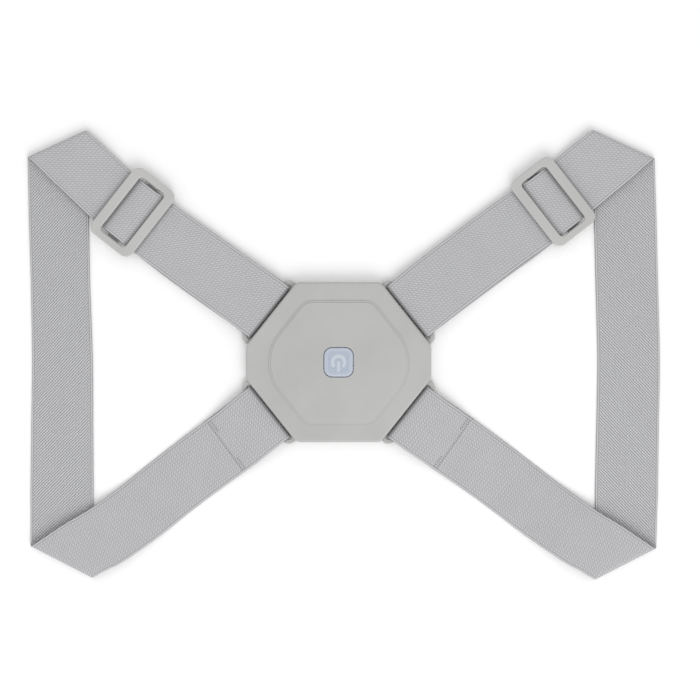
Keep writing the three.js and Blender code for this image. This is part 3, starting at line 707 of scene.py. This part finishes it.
# %% The whole route of one strap
def route(side):
    """Every station of a strap, and how many of them come before the run over the lower tab."""
    at = layout(side)
    hand = side["hand"]
    column = -2 if side["name"] == "left" else -1
    width = {key: side[key] * WEBBING for key in ("lower", "waist", "shoulder", "upper", "adjuster", "lug")}
    over_lug, under_lug = LUG_TOP + CLEAR, LUG_BOTTOM - CLEAR
    lug_middle, lug_wrap = (LUG_TOP + LUG_BOTTOM) / 2, (over_lug - under_lug) / 2
    top, middle, bottom = at["top"], at["middle"], at["bottom"]
    (lower, lower_out), (upper, upper_out) = at["lower_lug"], at["upper_lug"]
    floor = layer(0)

    away = (bottom - lower).normalized()
    outwards = left_of(away) * (-hand * WEBBING)
    tab_end = lower + away * LOWER_TAB + outwards * LOWER_RUN[1][column]
    stations = run(
        [
            row(lift(tab_end, floor), width["lower"]),
            row(lift(lower.lerp(tab_end, 0.5), floor), width["lower"]),
            row(lift(lower + lower_out * LUG_BAR, under_lug), width["lower"]),
            row(lift(lower, under_lug), width["lower"]),
        ],
        -1, end=-lower_out,
    )
    stations += wrap(lower, lower_out, lug_middle, lug_wrap, False, 1, width["lower"], LUG_LOOP)
    lower_start = len(stations)

    up = (middle - bottom).normalized()
    waist, waist_skew = fold(
        bottom, away, up, floor, side["bottom_fold"] * THICK, False, 1, width["waist"]
    )
    reach = Vector((waist[0]["at"].x, waist[0]["at"].y)) - lower
    heights = {"lug": over_lug - floor, "fold": side["bottom_fold"] * THICK}
    seam = (LOWER_TAB - STITCH_INSET) / reach.length
    points = [(entry[0], heights[entry[1]] * entry[2], entry[column]) for entry in LOWER_RUN]
    after = next(i for i, point in enumerate(points) if point[0] > seam)
    (share_a, _, bow_a), (share_b, _, bow_b) = points[after - 1], points[after]
    points.insert(after, (seam, PITCH - 0.1, mix(bow_a, bow_b, (seam - share_a) / (share_b - share_a))))
    rows = [row(lift(lower, over_lug), width["lower"])]
    for share, rise, bow in points:
        plan = lower + reach * share + outwards * bow
        skew = waist_skew * smooth((share - TWIST_FROM) / (1 - TWIST_FROM))
        rows.append(row(lift(plan, floor + rise), mix(width["lower"], width["waist"], share), skew))
    rows.append(row(waist[0]["at"], width["waist"], waist_skew))
    stations += run(rows, 1, start=lower_out, end=away)
    stations += waist

    adjuster, along = at["adjuster"]
    to_top = (top - middle).normalized()
    inwards = (adjuster - top).normalized()
    shoulder, shoulder_skew = fold(
        top, to_top, inwards, floor, side["top_fold"] * THICK, True, -1, width["shoulder"]
    )
    rows = [row(waist[-1]["at"], width["waist"], waist_skew)]
    for entry in UPRIGHT_RUN:
        rows.append(row(lift(middle.lerp(at[entry[0]], entry[1]), floor), entry[column] * WEBBING))
    rows.append(row(shoulder[0]["at"], width["shoulder"], shoulder_skew))
    stations += run(rows, -1, start=up, end=to_top)
    stations += shoulder

    def near(distance, z):
        return lift(adjuster - along * distance, z)

    half_bar = CENTRE_BAR / 2
    edge = half_bar - (CENTRE_TOP - CENTRE_BOTTOM) / 2
    half_window = WINDOW / 2
    half_way = (half_window + half_bar) / 2
    frame_half = half_window + LONG_BAR
    over_bar = CENTRE_TOP + CLEAR
    over_layer, under_frame = over_bar + PITCH, layer(2)
    between = (over_layer + under_frame) / 2
    start = shoulder[-1]["at"]
    outer_end = near(-frame_half, 0)
    inner_end = near(frame_half + GAP, 0)
    shift = hand * side["shift"] * WEBBING
    on_bar = upper + left_of(upper_out) * shift
    sideways = lift(left_of(along) * shift, 0)
    rows = [row(start, width["shoulder"], shoulder_skew)]
    for share, rise, twist in SHOULDER_RUN:
        plan = start.lerp(outer_end, share)
        rows.append(row(lift(plan, start.z * rise), width["upper"], shoulder_skew * twist))
    rows += [
        row(near(-frame_half, under_frame - GAP * 2), width["upper"]),
        row(near(-half_window, under_frame - GAP), width["upper"]),
        row(near(-half_way - GAP, between), width["upper"]),
        row(near(-edge, over_layer), width["upper"]),
        row(near(half_bar, over_layer), width["upper"]),
        row(near(half_way, between), width["adjuster"]),
        row(near(half_window, under_frame), width["adjuster"]),
        row(near(frame_half + GAP, under_frame) + sideways, width["adjuster"]),
    ]
    for share, of, rise, shifts in INNER_RUN:
        plan = inner_end.lerp(lift(upper, 0), share) + sideways * shifts
        z = (under_frame if of == "adjuster" else over_lug) * rise
        rows.append(row(lift(plan, z), mix(width["adjuster"], width["lug"], share)))
    rows.append(row(lift(on_bar, over_lug), width["lug"]))
    stations += run(rows, 1, end=-upper_out)
    stations += wrap(on_bar, upper_out, lug_middle, lug_wrap, True, 1, width["lug"], LUG_LOOP)

    drift = lift(left_of(along) * (-hand * side["drift"] * WEBBING), 0)
    rows = [row(lift(on_bar, under_lug), width["lug"])]
    rows.append(row(lift(on_bar + upper_out * LUG_BAR, under_lug), width["lug"]))
    for share, layers, shifts in UNDER_RUN:
        plan = lift(upper, 0).lerp(near(UPPER_TAB, 0), share) + drift + sideways * shifts
        rows.append(row(lift(plan, layer(layers)), mix(width["lug"], width["adjuster"], share)))
    rows += [
        row(near(UPPER_TAB, layer(1)), width["adjuster"]),
        row(near(frame_half, layer(1)), width["adjuster"]),
        row(near(half_window, layer(1)), width["adjuster"]),
        row(near(half_way, (over_bar + layer(1)) / 2), width["adjuster"]),
        row(near(half_bar, over_bar), width["adjuster"]),
        row(near(-edge, over_bar), width["adjuster"]),
    ]
    stations += run(rows, -1, start=upper_out, end=along)
    bar_middle = (CENTRE_TOP + CENTRE_BOTTOM) / 2
    end = adjuster + along * edge
    stations += wrap(end, -along, bar_middle, over_bar - bar_middle, True, -1, width["adjuster"])
    rows = [row(near(distance, floor), width["adjuster"]) for distance in (-edge, half_window, UPPER_TAB)]
    stations += run(rows, 1, start=-along, end=-along)
    spaced = [stations[0]]
    for n, here in enumerate(stations[1:], 1):
        if (here["at"] - spaced[-1]["at"]).length > 0.05:
            spaced.append(here)
        elif n < lower_start:
            lower_start -= 1
    return spaced, lower_start


routes = {side["name"]: route(side) for side in SIDES}
for name, (stations, lower_start) in routes.items():
    length = sum((b["at"] - a["at"]).length for a, b in zip(stations, stations[1:]))
    print(f"{name} strap: {len(stations)} stations, {length:.0f} mm long")

# %% [markdown]
# ## The webbing's finish
# Elastic webbing shows rows of small loops on its face and fine slanted ribs on its back, with a smooth
# selvedge along both edges. The pattern has to follow the strap round every fold, so it reads the strap's
# own UV map, which holds metres along and across the strip as it was woven. Sine waves of that map
# make the loops and the ribs, and the same height drives the bump and the colour, as painted shade:
# the gaps between loops and the grooves of the selvedge are darker. More painted shade darkens the
# webbing wherever another surface is close, in folds, under upper layers and at the slots.


# %% Webbing materials
WEAVE_PITCH = 1.95 * MM
SELVEDGE = 1.4
SELVEDGE_EDGE = 2500  # how sharply the weave starts inside the selvedge, per metre


def webbing(name, weights, contrast, middle=0.5):
    """A woven finish. The weights are for the two slanted, the lengthways and the crossways ribs.

    The contrast spreads their heights about the middle, from 0 at the lowest to 1 at the highest.
    """
    n = Nodes(name)
    uv = n.add("ShaderNodeUVMap", uv_map="weave")
    parts = n.add("ShaderNodeSeparateXYZ")
    n.link(uv.outputs["UV"], parts.inputs["Vector"])
    wobble = n.math("MULTIPLY", n.math("SUBTRACT", n.noise(450, 2), 0.5), 0.0006)
    along = n.math("MULTIPLY", n.math("ADD", parts.outputs["X"], wobble), 2 * math.pi / WEAVE_PITCH)
    across = n.math("MULTIPLY", n.math("ADD", parts.outputs["Y"], wobble), 2 * math.pi / WEAVE_PITCH)

    def wave(angle, phase=0.0):
        return n.math("MULTIPLY_ADD", n.math("SINE", n.math("ADD", angle, phase)), 0.5, 0.5)

    def blend(amounts, angles):
        total = 0.0
        for amount, angle in zip(amounts, angles):
            total = n.math("MULTIPLY_ADD", wave(angle, math.pi / 2), amount, total)
        return total

    slants = (n.math("ADD", along, across), n.math("SUBTRACT", along, across))
    ribs = blend(weights, (*slants, across, along))
    loops = n.math("MULTIPLY_ADD", ribs, contrast, middle - contrast / 2)
    from_edge = n.math("SUBTRACT", WEBBING / 2 * MM, n.math("ABSOLUTE", parts.outputs["Y"]))
    inside = n.math("SUBTRACT", from_edge, SELVEDGE * MM)
    inside = n.math("MULTIPLY", inside, SELVEDGE_EDGE)
    inside = n.math("MINIMUM", n.math("MAXIMUM", inside, 0), 1)
    ridge = wave(n.math("MULTIPLY", from_edge, 2 * math.pi / (SELVEDGE * MM)), -math.pi / 2)
    selvedge = n.math("MULTIPLY_ADD", ridge, 1.0, 0.1)
    height = n.math("ADD", n.math("MULTIPLY", n.math("SUBTRACT", loops, selvedge), inside), selvedge)
    fibres = n.math("MULTIPLY", n.math("SUBTRACT", n.noise(1900, 3), 0.5), 0.5)
    slow = n.math("MULTIPLY", n.math("SUBTRACT", n.noise(60, 2), 0.5), 0.1)
    # The colour follows the weave's height as painted shade, darker in the gaps between loops and ribs and
    # in the selvedge's grooves. The fibre and slow noise add the yarn's own uneven tone.
    shade_and_tone = n.math("ADD", n.math("ADD", height, fibres), slow)
    shaded_weave_stops = [(0.1, (0.27, 0.27, 0.282)), (0.5, (0.445, 0.445, 0.457)), (0.9, (0.55, 0.55, 0.56))]
    colour = n.ramp(shade_and_tone, shaded_weave_stops)
    # Painted shade: the webbing is darker where other webbing or plastic comes within a few millimetres, in
    # folds, under upper layers and at the slots.
    shade = n.add("ShaderNodeVectorMath", operation="SCALE")
    n.link(colour, shade.inputs["Vector"])
    n.link(n.range(near_surface(n, False, 0.0028), 0.45, 1.0), shade.inputs["Scale"])
    n.link(shade.outputs["Vector"], n.shader.inputs["Base Color"])
    n.bump(n.math("ADD", height, fibres), 0.0002, 0.7)
    n.shader.inputs["Roughness"].default_value = 0.9
    n.shader.inputs["Specular IOR Level"].default_value = 0.2
    n.shader.inputs["Sheen Weight"].default_value = 0.15
    n.shader.inputs["Sheen Roughness"].default_value = 0.5
    return n.material


webbing_face = webbing("webbing_face", (0.42, 0.12, 0.22, 0.24), 0.78)
webbing_back = webbing("webbing_back", (0.6, 0.22, 0.12, 0.06), 2.4, 0.62)
webbing_edge = webbing("webbing_edge", (0.2, 0.2, 0.1, 0.3), 0.8)
print("webbing finishes:", webbing_face.name, webbing_back.name, webbing_edge.name)

# %% [markdown]
# ## The straps
# Each strap starts as a flat grid, one row of vertices for each station. Its UV map is written while it
# is still flat, in metres, so the weave is never stretched. Then every row is carried to its station.
# Solidify gives the strip its thickness, with the back of the webbing as its second material, and a
# small bevel softens the selvedges.


# %% Lay a flat strip along a route
def lay_strap(side, stations):
    across = 16
    bm = bmesh.new()
    bmesh.ops.create_grid(bm, x_segments=len(stations) - 1, y_segments=across, size=1)
    weave = bm.loops.layers.uv.new("weave")
    lengths = [0.0]
    for a, b in zip(stations, stations[1:]):
        lengths.append(lengths[-1] + (b["at"] - a["at"]).length)
    for vert in bm.verts:
        index = round((vert.co.x + 1) / 2 * (len(stations) - 1))
        here, share = stations[index], vert.co.y
        run_on = lengths[index] + here["skew"] * here["width"] / 2 * share
        for loop in vert.link_loops:
            loop[weave].uv = (run_on * MM, share * side["hand"] * WEBBING / 2 * MM)
        vert.co = (here["at"] + here["half"] * share) * MM
    mesh = bpy.data.meshes.new("strap_" + side["name"])
    bm.to_mesh(mesh)
    bm.free()
    mesh.shade_smooth()
    strap = bpy.data.objects.new("webbing_" + side["name"], mesh)
    bpy.context.scene.collection.objects.link(strap)
    for material in (webbing_face, webbing_back, webbing_edge):
        mesh.materials.append(material)
    return strap, lengths[-1]


STRIP_THICKNESS = 1.35
STRIP_ROUND = 0.35
straps = {}
for side in SIDES:
    name = side["name"]
    strap, length = lay_strap(side, routes[name][0])
    walls = strap.modifiers.new("thickness", "SOLIDIFY")
    walls.thickness = STRIP_THICKNESS * MM
    walls.offset = 0
    walls.material_offset = 1
    walls.material_offset_rim = 2
    softened = strap.modifiers.new("selvedge", "BEVEL")
    softened.width = STRIP_ROUND * MM
    softened.segments = 2
    softened.angle_limit = math.radians(55)
    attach(strap, "corrector")
    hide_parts("strap_" + name)
    straps[name] = (strap, length)
    print(f"{strap.name}: {len(strap.data.polygons)} faces, {length:.0f} mm of webbing")

# %% [markdown]
# ## Slide adjusters
# The adjuster is a flat frame with a lower centre bar, which hangs from a post at each end. The webbing
# goes under the frame's long bars and over the centre bar, and that grips it. The frame comes from the
# same helper as the lugs.


# %% Both adjusters
def slide_adjuster(side):
    half_length = WINDOW_HALF + END_BAR
    outer = WINDOW / 2 + LONG_BAR
    frame_plate = holed_plate(
        rectangle(-outer, outer, half_length), FRAME_CORNER,
        rectangle(-WINDOW / 2, WINDOW / 2, WINDOW_HALF), WINDOW_CORNER,
        FRAME_BOTTOM, FRAME_TOP, FRAME_ROUND, 5,
    )
    post_middle = WINDOW_HALF - POST_INSIDE + POST_LENGTH / 2
    bars = []
    for y, top, length in (
        (0, CENTRE_TOP, 2 * half_length - 2),
        (post_middle, POST_TOP, POST_LENGTH),
        (-post_middle, POST_TOP, POST_LENGTH),
    ):
        bar = bmesh.new()
        bmesh.ops.create_cube(bar, size=1)
        bmesh.ops.scale(bar, verts=bar.verts, vec=(CENTRE_BAR, length, top - CENTRE_BOTTOM))
        bmesh.ops.translate(bar, verts=bar.verts, vec=(0, y, (CENTRE_BOTTOM + top) / 2))
        round_edges(bar, list(bar.edges), CENTRE_ROUND)
        bars.append(bar)
    adjuster, along = layout(side)["adjuster"]
    solid = place(weld(frame_plate, bars), adjuster, along)
    piece = finish_piece(solid, "adjuster_" + side["name"], [adjuster_plastic])
    flat_shading_kept(piece)
    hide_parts("slide_adjuster_" + side["name"])
    return piece


adjusters = [slide_adjuster(side) for side in SIDES]

# %% [markdown]
# ## Stitches
# A row of thread holds each lower tab, with a few more stitches at both ends of a second row. A stitch
# is a small grain that sinks into the webbing, and between two stitches is the needle's hole, a dark dot
# of painted shade.
# They are made on the top of the strap and again under the tab, as one piece for each side.


# %% Sew the lower tabs
STITCH_PITCH = 1.5
STITCH_ROWS = [(31.9, 99), (30.0, 5)]  # distance from the lug's bar, stitches from each end
STITCH_SIZE = (0.42, 0.24, 0.14, 1)
HOLE_SIZE = (0.38, 0.38, 0.1, 1)
STITCH_LEVELS = (0.46, -0.4)  # above the upper layer's middle and the sewn end's, in thicknesses
STATIONS_OVER_TAB = 40


def dot(bm, matrix, material):
    """A small rounded grain with few faces."""
    made = bmesh.ops.create_uvsphere(bm, u_segments=8, v_segments=5, radius=1, matrix=matrix)
    for face in {f for v in made["verts"] for f in v.link_faces}:
        face.material_index = material


def across_webbing(layers, lug, distance):
    """The middle of the webbing and its crossways direction at a distance from the lug's bar."""
    for a, b in zip(layers, layers[1:]):
        near, far = ((s["at"] - lug).xy.length for s in (a, b))
        if min(near, far) <= distance <= max(near, far):
            share = (distance - near) / (far - near)
            return a["at"].lerp(b["at"], share), a["half"].lerp(b["half"], share).xy.normalized()
    raise ValueError("no webbing at that distance")


def stitches(side, stations, lower_start):
    bm = bmesh.new()
    lug = stations[lower_start - 1]["at"]
    count = int((WEBBING - 3) / STITCH_PITCH)
    for distance, at_ends in STITCH_ROWS:
        over = stations[lower_start : lower_start + STATIONS_OVER_TAB]
        for layers, level in zip((over, stations[:lower_start]), STITCH_LEVELS):
            middle, line = across_webbing(layers, lug, distance)
            turn = Matrix.Rotation(math.atan2(line.y, line.x), 4, "Z")
            for i in range(count + 1):
                if at_ends < i < count - at_ends:
                    continue
                for step, size, material in ((0, HOLE_SIZE, 1), (0.5, STITCH_SIZE, 0)):
                    along = line * ((i + step - count / 2) * STITCH_PITCH)
                    spot = middle + lift(along, level * THICK)
                    dot(bm, Matrix.Translation(spot) @ turn @ Matrix.Diagonal(size), material)
    return finish_piece(bm, "stitches_" + side["name"], [thread_finish, dark_hole_shade], angle=180)


thread = Nodes("thread")
thread.link(
    thread.ramp(thread.noise(1500, 2), [(0.3, (0.4, 0.4, 0.42)), (0.7, (0.58, 0.58, 0.6))]),
    thread.shader.inputs["Base Color"],
)
thread.shader.inputs["Roughness"].default_value = 0.7
thread.bump(thread.noise(6000, 2), 0.00005, 0.5)
thread_finish = thread.material
# The needle holes are dark dots of painted shade, standing in for the shadow inside each hole.
painted_needle_shade = Nodes("painted_needle_shade")
painted_needle_shade.link(
    painted_needle_shade.ramp(painted_needle_shade.noise(900, 2), [(0.3, (0.1, 0.1, 0.105)), (0.7, (0.16, 0.16, 0.165))]),
    painted_needle_shade.shader.inputs["Base Color"],
)
painted_needle_shade.shader.inputs["Roughness"].default_value = 0.95
dark_hole_shade = painted_needle_shade.material
for side in SIDES:
    sewn = stitches(side, *routes[side["name"]])
    strap, length = straps[side["name"]]

# %% [markdown]
# ## Floor, light and camera
# The photograph is taken from straight above on plain white. Most of the light comes from a white world
# all round, as in a light tent. A large softbox stands towards the lower side of the picture, so the
# faint shadows are a little deeper on the upper side of everything, and the lower straps a little lighter.

# %% The floor
bm = bmesh.new()
bmesh.ops.create_grid(bm, x_segments=1, y_segments=1, size=3)
floor_mesh = bpy.data.meshes.new("floor")
bm.to_mesh(floor_mesh)
bm.free()
floor = bpy.data.objects.new("floor", floor_mesh)
bpy.context.scene.collection.objects.link(floor)
paper = Nodes("paper")
paper.shader.inputs["Base Color"].default_value = (0.96, 0.96, 0.96, 1)
paper.shader.inputs["Roughness"].default_value = 0.9
floor_mesh.materials.append(paper.material)

# %% Light and camera
world = bpy.data.worlds.new("studio")
bpy.context.scene.world = world
world.use_nodes = True
world.node_tree.nodes["Background"].inputs["Color"].default_value = (1, 1, 1, 1)
world.node_tree.nodes["Background"].inputs["Strength"].default_value = 0.88
bpy.context.scene.view_settings.view_transform = "Standard"

softbox = bpy.data.lights.new("softbox", "AREA")
softbox.size = 1.15
softbox.energy = 11.4
lamp = bpy.data.objects.new("softbox", softbox)
lamp.location = (0.33, -1.2, 1.33)
lamp.rotation_euler = (-lamp.location).to_track_quat("-Z", "Y").to_euler()
lamp.visible_camera = False
bpy.context.scene.collection.objects.link(lamp)

camera_data = bpy.data.cameras.new("camera")
camera = bpy.data.objects.new("camera", camera_data)
camera_data.sensor_width = 36
distance, view_width = 1.2, 0.4375
picture_middle = (0.00706, 0.00756)
camera_data.lens = camera_data.sensor_width * distance / view_width
camera.location = (*picture_middle, distance)
bpy.context.scene.collection.objects.link(camera)
bpy.context.scene.camera = camera
